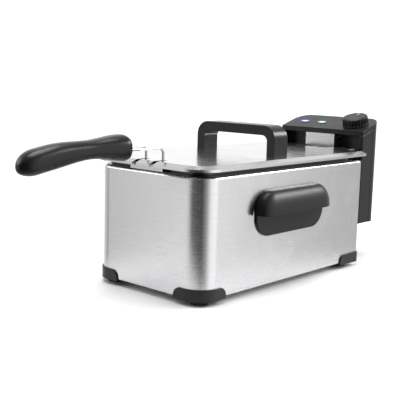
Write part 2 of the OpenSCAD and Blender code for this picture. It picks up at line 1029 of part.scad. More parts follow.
module handle_fork() {
  low = basket_z + basket_h - 24;
  color("silver") placed()
    for (s = [-1, 1]) {
      translate([s * fork_x, fork_y, low])
        cylinder(r = fork_r, h = z_fork - fork_bend - low, $fn = 32);
      translate([s * fork_x, fork_y - fork_bend, z_fork - fork_bend])
        rotate([90, 0, 90])
          rotate_extrude(angle = 90)
            translate([fork_bend, 0])
              circle(fork_r, $fn = 32);
      translate([s * fork_x, fork_y - fork_bend, z_fork])
        rotate([90, 0, 0])
          cylinder(r = fork_r, h = fork_y - fork_bend - grip_rear + 14, $fn = 32);
      translate([s * fork_x, grip_rear - 14, z_fork])
        sphere(fork_r, $fn = 32);
    }
}

grip_rear_h = 34;
grip_neck_h = 23.6;
grip_drop = 14.7;
grip_bow = 6;
grip_screw_t = 30 / grip_l;
function ease(t) = let (c = min(1, max(0, t))) c * c * (3 - 2 * c);
// How the grip closes to its round end, at a share t of its length
function grip_close(t) = t < 0.85 ? 1 : sqrt(max(0.0004, 1 - pow((t - 0.85) / 0.15, 2)));
// Half height, half width and centre height of the grip at a share t of its length
function grip_half(t) = grip_close(t) / 2 * (t < 0.36
  ? grip_neck_h + (grip_rear_h - grip_neck_h) * (1 + cos(180 * t / 0.36)) / 2
  : grip_neck_h + (grip_h - grip_neck_h) * ease((t - 0.36) / 0.36));
function grip_across(t) = grip_close(t) / 2 * (grip_rear_w
  - (grip_rear_w - grip_neck_w) * ease(t / 0.4)
  + (grip_w - grip_neck_w) * ease((t - 0.5) / 0.35));
function grip_mid(t) = z_fork + 1.6 - grip_drop * t + grip_bow * 4 * t * (1 - t);
grip_steps = 36;

module grip_side() {
  polygon(concat(
    [for (i = [0 : grip_steps])
      let (t = i / grip_steps) [grip_rear - grip_l * t, grip_mid(t) + grip_half(t)]],
    [for (i = [grip_steps : -1 : 0])
      let (t = i / grip_steps) [grip_rear - grip_l * t, grip_mid(t) - grip_half(t)]]
  ));
}

module grip_top() {
  polygon(concat(
    [for (i = [0 : grip_steps])
      let (t = i / grip_steps) [grip_across(t), grip_rear - grip_l * t]],
    [for (i = [grip_steps : -1 : 0])
      let (t = i / grip_steps) [-grip_across(t), grip_rear - grip_l * t]]
  ));
}

module handle_grip() {
  color("#222") placed() difference() {
    intersection() {
      translate([-grip_w, 0, 0])
        rotate([90, 0, 90])
          linear_extrude(2 * grip_w)
            grip_side();
      linear_extrude(z_fork + 2 * grip_h)
        grip_top();
    }
    for (s = [-1, 1])
      translate([s * fork_x, grip_rear + cut, z_fork])
        rotate([90, 0, 0])
          cylinder(r = fork_r + 0.05, h = 16 + cut, $fn = 32);
    translate([0, grip_rear - 30, 0])
      cylinder(r = 2.6, h = grip_mid(grip_screw_t) - 2);
  }
}

module grip_screw() {
  color("silver") placed()
    translate([0, grip_rear - 30, grip_mid(grip_screw_t) - grip_half(grip_screw_t) + 2])
      cylinder(r = 2.6, h = grip_half(grip_screw_t) - 4);
}

// ---------- lid ----------

module border_section() {
  polygon([
    [-border_w, 0], [0, -border_drop], [0, -border_drop - skirt_h],
    [-lid_t, -border_drop - skirt_h], [-lid_t, -border_drop - lid_t * 0.6], [-border_w, -lid_t]
  ]);
}

module lid_plate() {
  color("silver") placed() difference() {
    union() {
      translate([0, lid_y + border_w / 2, z_lid_under])
        linear_extrude(lid_t)
          plan(2 * (lid_x - border_w), lid_l - border_w, lid_r - border_w, 0.5);
      translate([0, lid_y, z_lid])
        u_sweep(2 * lid_x, lid_l, lid_r) border_section();
      span([-tongue_x, lid_rear - 20, z_lid_under], [tongue_x, tongue_y, z_lid]);
    }
    span([-notch_x, notch_y, z_lid_under - cut], [notch_x, tongue_y + cut, z_lid + cut]);
    for (s = [-1, 1])
      span([s * fork_x - slot_w / 2, lid_front - cut, z_lid - 20],
           [s * fork_x + slot_w / 2, slot_y, z_lid + cut]);
    at_bow_screws()
      cylinder(r = bow_screw_r + 0.1, h = 20, center = true);
  }
}

module at_bow_screws() {
  for (s = [-1, 1])
    for (d = [-1, 1])
      translate([s * (bow_w - bow_t) / 2, bow_y + d * bow_d * 0.25, z_lid])
        children();
}

module lid_handle() {
  color("#222") placed() difference() {
    translate([0, bow_y + bow_d / 2, z_lid])
      rotate([90, 0, 0])
        linear_extrude(bow_d)
          difference() {
            translate([0, bow_h / 2 - bow_out_r / 2])
              plan(bow_w, bow_h + bow_out_r, 1, bow_out_r);
            translate([0, (bow_h - bow_t) / 2 - bow_out_r / 2])
              plan(bow_w - 2 * bow_t, bow_h - bow_t + bow_out_r, 1, bow_in_r);
          }
    translate([-bow_w, bow_y - bow_d, z_lid - 2 * bow_h])
      cube([2 * bow_w, 2 * bow_d, 2 * bow_h]);
    at_bow_screws()
      cylinder(r = bow_screw_r, h = 14);
  }
}

module lid_handle_screws() {
  color("silver") placed() at_bow_screws() {
    translate([0, 0, -lid_t - 1.6])
      cylinder(r = 3.6, h = 1.6);
    translate([0, 0, -lid_t - 0.5])
      cylinder(r = bow_screw_r, h = lid_t + 12.5);
  }
}

housing_shell();
rear_panel();
base_plate();
rear_rails();
foot_front_left();
foot_front_right();
foot_rear_left();
foot_rear_right();
foot_pads();
foot_screws();
carry_plate_left();
carry_plate_right();
carry_scoop_left();
carry_scoop_right();
carry_screws();
inner_pot();
basket_rest();
head_shell();
head_back();
head_cover();
hook_block();
bridge_plate();
element_box();
element_guard();
heating_element();
sensor_bulb();
thermostat_body();
thermal_cutout();
terminal_block();
microswitch();
lamp_lens_heat();
lamp_lens_power();
lamp_holders();
head_screws();
cord_gland();
thermostat_knob();
knob_shaft();
reset_button();
basket_rim();
basket_net();
basket_feet();
fork_socket();
handle_fork();
handle_grip();
grip_screw();
lid_plate();
lid_handle();
lid_handle_screws();
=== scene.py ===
"""Looks of the deep fryer.

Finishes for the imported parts, and the pieces whose real form is finer than the CAD.
"""

import json
import math

import bmesh
import bpy
from bpy.props import FloatProperty, FloatVectorProperty, IntProperty, PointerProperty
from mathutils import Matrix, Vector


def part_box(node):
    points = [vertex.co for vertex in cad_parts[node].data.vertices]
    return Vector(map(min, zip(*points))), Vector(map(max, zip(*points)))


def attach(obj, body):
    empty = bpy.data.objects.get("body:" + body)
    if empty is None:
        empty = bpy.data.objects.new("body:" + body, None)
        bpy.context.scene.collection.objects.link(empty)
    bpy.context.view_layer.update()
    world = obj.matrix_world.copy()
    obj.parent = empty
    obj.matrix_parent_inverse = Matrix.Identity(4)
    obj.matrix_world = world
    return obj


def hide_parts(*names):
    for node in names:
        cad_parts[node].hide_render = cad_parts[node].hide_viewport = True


bl_info = {
    "name": "Deep fryer looks",
    "version": (1, 0, 0),
    "blender": (4, 5, 0),
    "location": "3D view > Sidebar > Fryer",
    "description": "Finishes and fine pieces of a steel deep fryer with a lift-out basket",
    "category": "Add Mesh",
}

MM = 0.001
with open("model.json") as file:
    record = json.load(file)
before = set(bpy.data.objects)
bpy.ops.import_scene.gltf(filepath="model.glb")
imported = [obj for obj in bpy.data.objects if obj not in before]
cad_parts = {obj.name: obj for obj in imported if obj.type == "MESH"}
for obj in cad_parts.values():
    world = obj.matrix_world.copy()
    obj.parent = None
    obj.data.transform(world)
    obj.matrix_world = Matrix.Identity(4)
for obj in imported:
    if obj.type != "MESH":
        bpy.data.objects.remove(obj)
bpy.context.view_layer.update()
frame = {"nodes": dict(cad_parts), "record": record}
NODES = frame["nodes"]


def corners(node):
    """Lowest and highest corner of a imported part, as vectors."""
    low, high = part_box(node)
    return Vector(low), Vector(high)


# ---------------------------------------------------------------- sizes and colours


class FinishSettings(bpy.types.PropertyGroup):
    """Colours of the fryer's materials and the depth of their brushed lines."""

    steel: FloatVectorProperty(name="Steel", description="Colour of the brushed steel",
                               subtype="COLOR", default=(0.64, 0.64, 0.65), min=0, max=1)
    plastic: FloatVectorProperty(name="Black plastic", description="Colour of the black mouldings",
                                 subtype="COLOR", default=(0.009, 0.0092, 0.0098), min=0, max=1)
    grey: FloatVectorProperty(name="Grey plastic", description="Colour of the knob and the feet",
                              subtype="COLOR", default=(0.013, 0.0132, 0.014), min=0, max=1)
    enamel: FloatVectorProperty(name="Enamel", description="Colour of the pot's enamel",
                                subtype="COLOR", default=(0.008, 0.008, 0.009), min=0, max=1)
    brushing: FloatProperty(name="Brushing", description="Depth of the brushed lines",
                            default=0.012, min=0, max=1)


class HandleSettings(bpy.types.PropertyGroup):
    """Shape of the basket's grip and of the carry handles' hoods."""

    rear: FloatProperty(name="Rear height", description="Height of the grip where the wires enter",
                        default=34 * MM, unit="LENGTH")
    neck: FloatProperty(name="Neck height", description="Height of the grip at its neck",
                        default=23.6 * MM, unit="LENGTH")
    bulb: FloatProperty(name="Bulb height", description="Height of the grip at its round end",
                        default=30.2 * MM, unit="LENGTH")
    neck_width: FloatProperty(name="Neck width", description="Width of the grip at its neck",
                              default=28 * MM, unit="LENGTH")
    bulb_width: FloatProperty(name="Bulb width", description="Width of the grip at its round end",
                              default=32 * MM, unit="LENGTH")
    drop: FloatProperty(name="Drop", description="Drop of the grip's round end below the wires",
                        default=14.7 * MM, unit="LENGTH")
    bow: FloatProperty(name="Bow", description="Upward bow of the grip at its middle",
                       default=6 * MM, unit="LENGTH")
    hood_wall: FloatProperty(name="Hood wall", description="Thickness of a carry handle's hood",
                             default=2.6 * MM, unit="LENGTH")


class KnobSettings(bpy.types.PropertyGroup):
    """Shape of the thermostat knob."""

    ribs: IntProperty(name="Ribs", description="Finger ribs round the knob", default=26, min=8, max=60)
    groove: FloatProperty(name="Groove depth", description="Depth of the grooves between the ribs",
                          default=1.9 * MM, unit="LENGTH")


class NetSettings(bpy.types.PropertyGroup):
    """Wire net of the basket."""

    pitch: FloatProperty(name="Mesh width", description="Distance between the net's wires",
                         default=6.5 * MM, unit="LENGTH")
    wire: FloatProperty(name="Wire", description="Thickness of the net's wires",
                        default=1.0 * MM, unit="LENGTH")


class StageSettings(bpy.types.PropertyGroup):
    """Light, surroundings and camera."""

    azimuth: FloatProperty(name="Azimuth", description="Camera's direction round the fryer",
                           default=math.radians(42.334), subtype="ANGLE")
    elevation: FloatProperty(name="Elevation", description="Camera's height angle",
                             default=math.radians(9.030), subtype="ANGLE")
    roll: FloatProperty(name="Roll", description="Camera's roll", default=math.radians(1.464),
                        subtype="ANGLE")
    lens: FloatProperty(name="Lens", description="Focal length in mm", default=72.31, min=10)
    place: FloatVectorProperty(name="Camera place", description="Camera's place in the fryer's frame",
                               default=(0.7536, -0.8505, 0.2945), subtype="TRANSLATION")
    key: FloatProperty(name="Rear light", description="Power of the softbox behind the fryer in watts",
                       default=16)
    fill: FloatProperty(name="Front light", description="Power of the softbox at the left front in watts",
                        default=6)
    top: FloatProperty(name="Top light", description="Power of the overhead softbox in watts",
                       default=38)
    sky: FloatProperty(name="Surroundings", description="Brightness of the studio's walls",
                       default=1.0)


# ---------------------------------------------------------------- shared shader groups


def new_group(name, inputs, outputs):
    """Shader node group with named float, vector or colour sockets."""
    tree = bpy.data.node_groups.new(name, "ShaderNodeTree")
    for direction, sockets in (("INPUT", inputs), ("OUTPUT", outputs)):
        for label, kind, value in sockets:
            made = tree.interface.new_socket(name=label, in_out=direction, socket_type="NodeSocket" + kind)
            if value is not None:
                made.default_value = value
    return tree, tree.nodes.new("NodeGroupInput"), tree.nodes.new("NodeGroupOutput")


def node_of(tree, kind, values=None, **settings):
    """Adds a node, sets its properties and its unlinked sockets."""
    node = tree.nodes.new("ShaderNode" + kind)
    for key, value in settings.items():
        setattr(node, key, value)
    for key, value in (values or {}).items():
        node.inputs[key].default_value = value
    return node


def ramp(tree, low, high, source, out_low=0.0, out_high=1.0):
    """Clamped linear map of a value."""
    node = node_of(tree, "MapRange", {1: low, 2: high, 3: out_low, 4: out_high})
    tree.links.new(source, node.inputs[0])
    return node.outputs[0]


def maths(tree, operation, a, b):
    """Arithmetic on two sockets or numbers."""
    node = node_of(tree, "Math", operation=operation)
    for socket, value in zip(node.inputs, (a, b)):
        if isinstance(value, (int, float)):
            socket.default_value = value
        else:
            tree.links.new(value, socket)
    return node.outputs[0]


def build_brushed():
    """Brushed lines: long thin scratches, stretched by the Stretch vector."""
    tree, inside, outside = new_group(
        "Brushed lines",
        [("Vector", "Vector", None), ("Stretch", "Vector", (14.0, 14.0, 900.0))],
        [("Lines", "Float", None), ("Streaks", "Float", None)])
    stretched = node_of(tree, "VectorMath", operation="MULTIPLY")
    tree.links.new(inside.outputs["Vector"], stretched.inputs[0])
    tree.links.new(inside.outputs["Stretch"], stretched.inputs[1])
    fine = node_of(tree, "TexNoise", {"Scale": 2.4, "Detail": 3.0, "Roughness": 0.7})
    coarse = node_of(tree, "TexNoise", {"Scale": 0.32, "Detail": 2.0, "Roughness": 0.6})
    for noise, label in ((fine, "Lines"), (coarse, "Streaks")):
        tree.links.new(stretched.outputs[0], noise.inputs["Vector"])
        tree.links.new(noise.outputs["Fac"], outside.inputs[label])
    return tree


def build_grain():
    """Moulded plastic: fine spark-eroded grain, slow colour drift and a faint film of dust."""
    tree, inside, outside = new_group(
        "Moulded grain",
        [("Vector", "Vector", None), ("Grain size", "Float", 1800.0)],
        [("Grain", "Float", None), ("Drift", "Float", None), ("Dust", "Float", None)])
    grain = node_of(tree, "TexNoise", {"Detail": 2.0, "Roughness": 0.55})
    tree.links.new(inside.outputs["Grain size"], grain.inputs["Scale"])
    drift = node_of(tree, "TexNoise", {"Scale": 22.0, "Detail": 3.0})
    dust = node_of(tree, "TexNoise", {"Scale": 90.0, "Detail": 6.0, "Roughness": 0.75})
    for noise in (grain, drift, dust):
        tree.links.new(inside.outputs["Vector"], noise.inputs["Vector"])
    normal = node_of(tree, "NewGeometry")
    split = node_of(tree, "SeparateXYZ")
    tree.links.new(normal.outputs["Normal"], split.inputs[0])
    upward = ramp(tree, 0.5, 1.0, split.outputs["Z"])
    specks = ramp(tree, 0.52, 0.78, dust.outputs["Fac"])
    tree.links.new(grain.outputs["Fac"], outside.inputs["Grain"])
    tree.links.new(drift.outputs["Fac"], outside.inputs["Drift"])
    tree.links.new(maths(tree, "MULTIPLY", upward, specks), outside.inputs["Dust"])
    return tree


def build_handled():
    """Traces of handling: soft smudges and a few short scratches."""
    tree, inside, outside = new_group(
        "Handling marks", [("Vector", "Vector", None)],
        [("Smudge", "Float", None), ("Scratch", "Float", None)])
    cloud = node_of(tree, "TexNoise", {"Scale": 16.0, "Detail": 4.0, "Distortion": 1.2})
    tree.links.new(inside.outputs[0], cloud.inputs["Vector"])
    tree.links.new(ramp(tree, 0.48, 0.72, cloud.outputs["Fac"]), outside.inputs["Smudge"])
    warp = node_of(tree, "Mapping", {"Rotation": (0.4, 0.9, 0.7), "Scale": (40.0, 900.0, 40.0)})
    tree.links.new(inside.outputs[0], warp.inputs["Vector"])
    marks = node_of(tree, "TexNoise", {"Scale": 1.0, "Detail": 1.0})
    tree.links.new(warp.outputs[0], marks.inputs["Vector"])
    tree.links.new(ramp(tree, 0.70, 0.78, marks.outputs["Fac"]), outside.inputs["Scratch"])
    return tree


GROUPS = {}
MATERIALS = {}


def placed_group(tree, name, vector):
    """Puts a shared group into a material and feeds it the object's coordinates."""
    node = tree.nodes.new("ShaderNodeGroup")
    node.node_tree = GROUPS[name]
    tree.links.new(vector, node.inputs["Vector"])
    return node


def start_material(name, roughness, metallic=0.0, **constants):
    """Empty material with its shader; returns the pieces that the finishes wire up."""
    made = bpy.data.materials.new(name)
    made.use_nodes = True
    tree = made.node_tree
    tree.nodes.clear()
    shader = node_of(tree, "BsdfPrincipled", {"Roughness": roughness, "Metallic": metallic})
    for key, value in constants.items():
        shader.inputs[key.replace("_", " ")].default_value = value
    output = node_of(tree, "OutputMaterial")
    tree.links.new(shader.outputs[0], output.inputs[0])
    place = node_of(tree, "TexCoord")
    MATERIALS[name] = made
    return made, tree, shader, place.outputs["Object"]


def mixed(tree, fac, a, b):
    """Mix of two colours; a colour may be a socket or a tuple."""
    node = node_of(tree, "Mix", data_type="RGBA")
    tree.links.new(fac, node.inputs[0])
    for socket, value in ((node.inputs[6], a), (node.inputs[7], b)):
        if isinstance(value, tuple):
            socket.default_value = value if len(value) == 4 else (*value, 1.0)
        else:
            tree.links.new(value, socket)
    return node.outputs[2]


def bumped(tree, shader, height, depth):
    """Feeds a height to the shader's normal through one bump node."""
    bump = node_of(tree, "Bump", {"Strength": 1.0, "Distance": depth})
    tree.links.new(height, bump.inputs["Height"])
    tree.links.new(bump.outputs[0], shader.inputs["Normal"])


def shade(colour, factor):
    """Lighter or darker copy of a colour, kept within 1."""
    return tuple(min(1.0, c * factor) for c in colour)


# Roughness that a smudge adds to steel and takes from plastic
SMUDGE = 0.05
# Depth in metres that a brushing of 1 stands for
DEEPEST_BRUSHING = 0.0005


def brushed_steel(name, colour, stretch, roughness, depth, anisotropic=0.0):
    """Steel with brushed lines along one direction and light smudges."""
    made, tree, shader, where = start_material(name, roughness, 1.0, Anisotropic=anisotropic,
                                               Anisotropic_Rotation=0.25)
    brushed = placed_group(tree, "brushed", where)
    brushed.inputs["Stretch"].default_value = stretch
    marked = placed_group(tree, "handled", where)
    tone = ramp(tree, 0.3, 0.7, brushed.outputs["Streaks"])
    base = mixed(tree, tone, shade(colour, 0.98), shade(colour, 1.02))
    fine = ramp(tree, 0.35, 0.65, brushed.outputs["Lines"], 0.0, 0.3)
    tree.links.new(mixed(tree, fine, base, shade(colour, 0.86)), shader.inputs["Base Color"])
    rough = ramp(tree, 0.3, 0.7, brushed.outputs["Lines"], roughness - 0.04, roughness + 0.05)
    smudge = maths(tree, "MULTIPLY", marked.outputs["Smudge"], SMUDGE)
    tree.links.new(maths(tree, "ADD", rough, smudge), shader.inputs["Roughness"])
    bumped(tree, shader, brushed.outputs["Lines"], depth)
    return made


def moulded_plastic(name, colour, roughness, grain=1800.0, depth=0.00003, coat=0.0):
    """Satin moulded plastic with a fine grain, light dust on top faces and smudges."""
    made, tree, shader, where = start_material(name, roughness, 0.0, Coat_Roughness=0.25,
                                               Specular_IOR_Level=0.3)
    shader.inputs["Coat Weight"].default_value = coat
    grained = placed_group(tree, "grain", where)
    grained.inputs["Grain size"].default_value = grain
    marked = placed_group(tree, "handled", where)
    tone = ramp(tree, 0.3, 0.7, grained.outputs["Drift"])
    base = mixed(tree, tone, shade(colour, 0.85), shade(colour, 1.15))
    dusty = maths(tree, "MULTIPLY", grained.outputs["Dust"], 0.07)
    tree.links.new(mixed(tree, dusty, base, (0.42, 0.41, 0.39)), shader.inputs["Base Color"])
    rough = ramp(tree, 0.25, 0.75, grained.outputs["Grain"], roughness - 0.05, roughness + 0.07)
    worn = maths(tree, "MULTIPLY", marked.outputs["Smudge"], -SMUDGE)
    tree.links.new(maths(tree, "ADD", rough, worn), shader.inputs["Roughness"])
    bumped(tree, shader, grained.outputs["Grain"], depth)
    return made


def glossy_enamel(name, colour):
    """Fired black enamel: glossy, faintly wavy, with a few light specks."""
    made, tree, shader, where = start_material(name, 0.12, 0.0)
    grained = placed_group(tree, "grain", where)
    grained.inputs["Grain size"].default_value = 160.0
    specks = node_of(tree, "TexVoronoi", {"Scale": 420.0})
    tree.links.new(where, specks.inputs["Vector"])
    dots = ramp(tree, 0.10, 0.04, specks.outputs["Distance"])
    tree.links.new(mixed(tree, dots, colour, shade(colour, 9.0)), shader.inputs["Base Color"])
    tree.links.new(ramp(tree, 0.3, 0.8, grained.outputs["Drift"], 0.09, 0.2), shader.inputs["Roughness"])
    bumped(tree, shader, grained.outputs["Grain"], 0.00012)
    return made


def chrome(name, colour):
    """Bright plated wire with a soft cloudiness."""
    made, tree, shader, where = start_material(name, 0.1, 1.0)
    marked = placed_group(tree, "handled", where)
    cloudy = mixed(tree, marked.outputs["Smudge"], colour, shade(colour, 0.9))
    tree.links.new(cloudy, shader.inputs["Base Color"])
    tree.links.new(ramp(tree, 0.0, 1.0, marked.outputs["Smudge"], 0.07, 0.16), shader.inputs["Roughness"])
    return made


def element_sheath(name):
    """Dull grey steel tube with warm heat tints."""
    made, tree, shader, where = start_material(name, 0.32, 1.0)
    heat = node_of(tree, "TexNoise", {"Scale": 45.0, "Detail": 4.0})
    tree.links.new(where, heat.inputs["Vector"])
    tint = ramp(tree, 0.35, 0.7, heat.outputs["Fac"])
    tree.links.new(mixed(tree, tint, (0.58, 0.56, 0.53), (0.36, 0.33, 0.30)), shader.inputs["Base Color"])
    tree.links.new(ramp(tree, 0.3, 0.7, heat.outputs["Fac"], 0.26, 0.42), shader.inputs["Roughness"])
    bumped(tree, shader, heat.outputs["Fac"], 0.00004)
    return made


def indicator_window(name, node, rim_colour, glow_colour):
    """Translucent window whose middle is white and whose border carries the colour."""
    made, tree, shader, where = start_material(name, 0.18, 0.0, Coat_Roughness=0.05)
    shader.inputs["Coat Weight"].default_value = 0.6
    low, high = corners(node)
    middle, half = (low + high) / 2, (high - low) / 2
    local = node_of(tree, "Mapping", {"Location": (-middle.x / half.x, -middle.y / half.y, 0.0),
                                      "Scale": (1.0 / half.x, 1.0 / half.y, 0.0)})
    tree.links.new(where, local.inputs["Vector"])
    reach = node_of(tree, "VectorMath", operation="LENGTH")
    tree.links.new(local.outputs[0], reach.inputs[0])
    ring = ramp(tree, 0.32, 0.72, reach.outputs["Value"])
    prism = node_of(tree, "TexWave", {"Scale": 900.0, "Distortion": 0.6})
    tree.links.new(where, prism.inputs["Vector"])
    colour = mixed(tree, ring, glow_colour, rim_colour)
    tree.links.new(colour, shader.inputs["Base Color"])
    tree.links.new(colour, shader.inputs["Emission Color"])
    shader.inputs["Emission Strength"].default_value = 0.25
    bumped(tree, shader, prism.outputs["Fac"], 0.00004)
    return made


# Distance in metres from the middle where the floor card is gone, and where it is whole
FLOOR_FADE = (1.5, 0.75)
# The same for what mirrored surfaces see, in shares of an ellipse round the fryer
FOOTPRINT = (7.7, 3.7, 0.0)
FOOTPRINT_FADE = (1.7, 1.05)


def pale_floor(name):
    """White card that melts into the white surroundings; mirrored surfaces see only its middle."""
    made, tree, shader, where = start_material(name, 0.65, 0.0)
    mottle = node_of(tree, "TexNoise", {"Scale": 7.0, "Detail": 5.0})
    tree.links.new(where, mottle.inputs["Vector"])
    tone = ramp(tree, 0.3, 0.7, mottle.outputs["Fac"])
    tree.links.new(mixed(tree, tone, (0.95, 0.95, 0.95), (0.97, 0.97, 0.97)), shader.inputs["Base Color"])
    away = node_of(tree, "VectorMath", operation="LENGTH")
    tree.links.new(where, away.inputs[0])
    seen = ramp(tree, *FLOOR_FADE, away.outputs["Value"])
    footprint = node_of(tree, "Mapping", {"Scale": FOOTPRINT})
    tree.links.new(where, footprint.inputs["Vector"])
    beyond = node_of(tree, "VectorMath", operation="LENGTH")
    tree.links.new(footprint.outputs[0], beyond.inputs[0])
    mirrored = ramp(tree, *FOOTPRINT_FADE, beyond.outputs["Value"])
    path = node_of(tree, "LightPath")
    both = node_of(tree, "Mix", data_type="FLOAT")
    tree.links.new(path.outputs["Is Camera Ray"], both.inputs[0])
    tree.links.new(mirrored, both.inputs[2])
    tree.links.new(seen, both.inputs[3])
    tree.links.new(both.outputs[0], shader.inputs["Alpha"])
    return made


# ---------------------------------------------------------------- mesh helpers


def add_piece(bm, name, material, body, replaced=(), smooth=True, sharp_angle=35.0):
    """Turns a bmesh into a finished piece that rides on a body."""
    mesh = bpy.data.meshes.new(name)
    bm.to_mesh(mesh)
    bm.free()
    mesh.materials.append(MATERIALS[material])
    if smooth:
        mesh.polygons.foreach_set("use_smooth", [True] * len(mesh.polygons))
        mesh.set_sharp_from_angle(angle=math.radians(sharp_angle))
    piece = bpy.data.objects.new(name, mesh)
    bpy.context.scene.collection.objects.link(piece)
    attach(piece, body)
    if replaced:
        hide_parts(*replaced)
    return piece


def merged_copy(node):
    """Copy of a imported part's mesh with shared corners and whole flat faces."""
    bm = bmesh.new()
    bm.from_mesh(NODES[node].data)
    bmesh.ops.remove_doubles(bm, verts=bm.verts, dist=2e-6)
    bmesh.ops.dissolve_limit(bm, angle_limit=math.radians(0.6), verts=bm.verts, edges=bm.edges)
    return bm


def softened(node, name, material, body, width, segments=2, angle=28.0):
    """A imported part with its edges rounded, as moulded or pressed parts have them."""
    piece = add_piece(merged_copy(node), name, material, body, (node,), sharp_angle=angle)
    edge = piece.modifiers.new("Rounded edges", "BEVEL")
    edge.width = width
    edge.segments = segments
    edge.limit_method = "ANGLE"
    edge.angle_limit = math.radians(angle)
    edge.harden_normals = True
    edge.miter_outer = "MITER_ARC"
    return piece


def smooth_step(t):
    """Eased run from 0 to 1."""
    t = max(0.0, min(1.0, t))
    return t * t * (3 - 2 * t)


class FryerOperator(bpy.types.Operator):
    """Shared base of the fryer's operators."""

    bl_options = {"REGISTER", "UNDO"}


# ---------------------------------------------------------------- operators


class FRYER_OT_materials(FryerOperator):
    """Builds the shader groups and every finish"""

    bl_idname = "fryer.materials"
    bl_label = "Materials"

    def execute(self, context):
        finish = context.scene.fryer_finish
        steel, black, grey = tuple(finish.steel), tuple(finish.plastic), tuple(finish.grey)
        GROUPS.update(brushed=build_brushed(), grain=build_grain(), handled=build_handled())
        depth = finish.brushing * DEEPEST_BRUSHING
        brushed_steel("Housing steel", steel, (7.0, 7.0, 1700.0), 0.24, depth, 0.7)
        brushed_steel("Lid steel", shade(steel, 0.98), (1500.0, 7.0, 1500.0), 0.17, depth * 0.08)
        brushed_steel("Bent steel", shade(steel, 0.92), (10.0, 60.0, 1500.0), 0.25, depth * 0.5)
        brushed_steel("Zinc", shade(steel, 0.85), (300.0, 300.0, 300.0), 0.34, depth)
        chrome("Chrome", (0.62, 0.62, 0.63))
        element_sheath("Element sheath")
        glossy_enamel("Black enamel", tuple(finish.enamel))
        moulded_plastic("Black moulding", black, 0.36, 1800.0, 0.000008)
        moulded_plastic("Handle plastic", shade(black, 0.9), 0.28, 2400.0, 0.000006)
        moulded_plastic("Grey moulding", grey, 0.42, 1500.0, 0.00001)
        moulded_plastic("Powder coat", shade(black, 1.3), 0.5, 1200.0, 0.00006)
        moulded_plastic("Rubber", (0.018, 0.018, 0.018), 0.75, 900.0, 0.00006)
        moulded_plastic("Ivory plastic", (0.72, 0.69, 0.6), 0.4)
        moulded_plastic("Red button", (0.5, 0.03, 0.02), 0.3, 2000.0, 0.00001, 0.4)
        brushed_steel("Copper bulb", (0.83, 0.52, 0.34), (300.0, 300.0, 20.0), 0.3, depth)
        indicator_window("Blue window", "lamp_lens_heat", (0.03, 0.08, 0.55), (0.85, 0.9, 1.0))
        indicator_window("Green window", "lamp_lens_power", (0.01, 0.30, 0.06), (0.82, 1.0, 0.86))
        pale_floor("Floor card")
        finishes = {
            "housing_shell": "Housing steel", "lid_plate": "Lid steel", "steel_parts": "Bent steel",
            "chrome_wire": "Chrome", "element_tube": "Element sheath", "screws": "Zinc",
            "enamel": "Black enamel", "black_moulding": "Black moulding", "grey_moulding": "Grey moulding",
            "handle_plastic": "Handle plastic", "panel_black": "Powder coat", "rubber": "Rubber",
            "white_plastic": "Ivory plastic", "lens_blue": "Blue window", "lens_green": "Green window",
            "reset_red": "Red button", "brass": "Copper bulb",
        }
        slots = {s["node"]: s["material_slot"] for s in frame["record"]["subparts"]}
        for node, part in NODES.items():
            material = MATERIALS[finishes[slots[node]]]
            for slot in part.material_slots:
                slot.material = material
        return {"FINISHED"}


class FRYER_OT_soft_edges(FryerOperator):
    """Rounds the edges of the moulded and pressed parts"""

    bl_idname = "fryer.soft_edges"
    bl_label = "Rounded mouldings"

    def execute(self, context):
        black, grey = "Black moulding", "Grey moulding"
        for node, name, width in (
                ("head_shell", "head_front_moulding", 1.0), ("head_back", "head_back_moulding", 1.0),
                ("head_cover", "head_top_cover", 1.3), ("hook_block", "hook_moulding", 0.8)):
            softened(node, name, black, "control_unit", width * MM)
        for side in ("left", "right"):
            softened("carry_plate_" + side, "carry_backing_" + side, black, "housing",
                     1.1 * MM, 3)
            for end in ("front", "rear"):
                node = "foot_" + end + "_" + side
                softened(node, node + "_moulding", grey, "housing", 0.9 * MM, 2)
        softened("lid_handle", "lid_bow", "Handle plastic", "lid", 1.8 * MM, 3, 40.0)
        softened("element_box", "element_cover", "Bent steel", "control_unit", 0.5 * MM, 2)
        return {"FINISHED"}


FORK_WIRE_RADIUS = 1.75 * MM
# Plastic beyond the two wires, and the grip's middle above them
GRIP_CHEEKS, GRIP_RISE = 4.5 * MM, 1.6 * MM
# Shares of the grip's length from its rear end: where the neck is reached, where the width narrows
# and swells again, where the round end starts, and how far the rear edge's rounding goes
NECK_AT, NARROW_AT, SWELL_AT, SWELL_RUN = 0.36, 0.4, 0.5, 0.35
ROUND_AT, ROUND_RUN, REAR_ROUNDING = 0.85, 0.15, 0.022
# Share that the rear edge is drawn in, and the power that squares the cross-section a little
REAR_PINCH, SQUARENESS = 0.10, 2 / 2.5


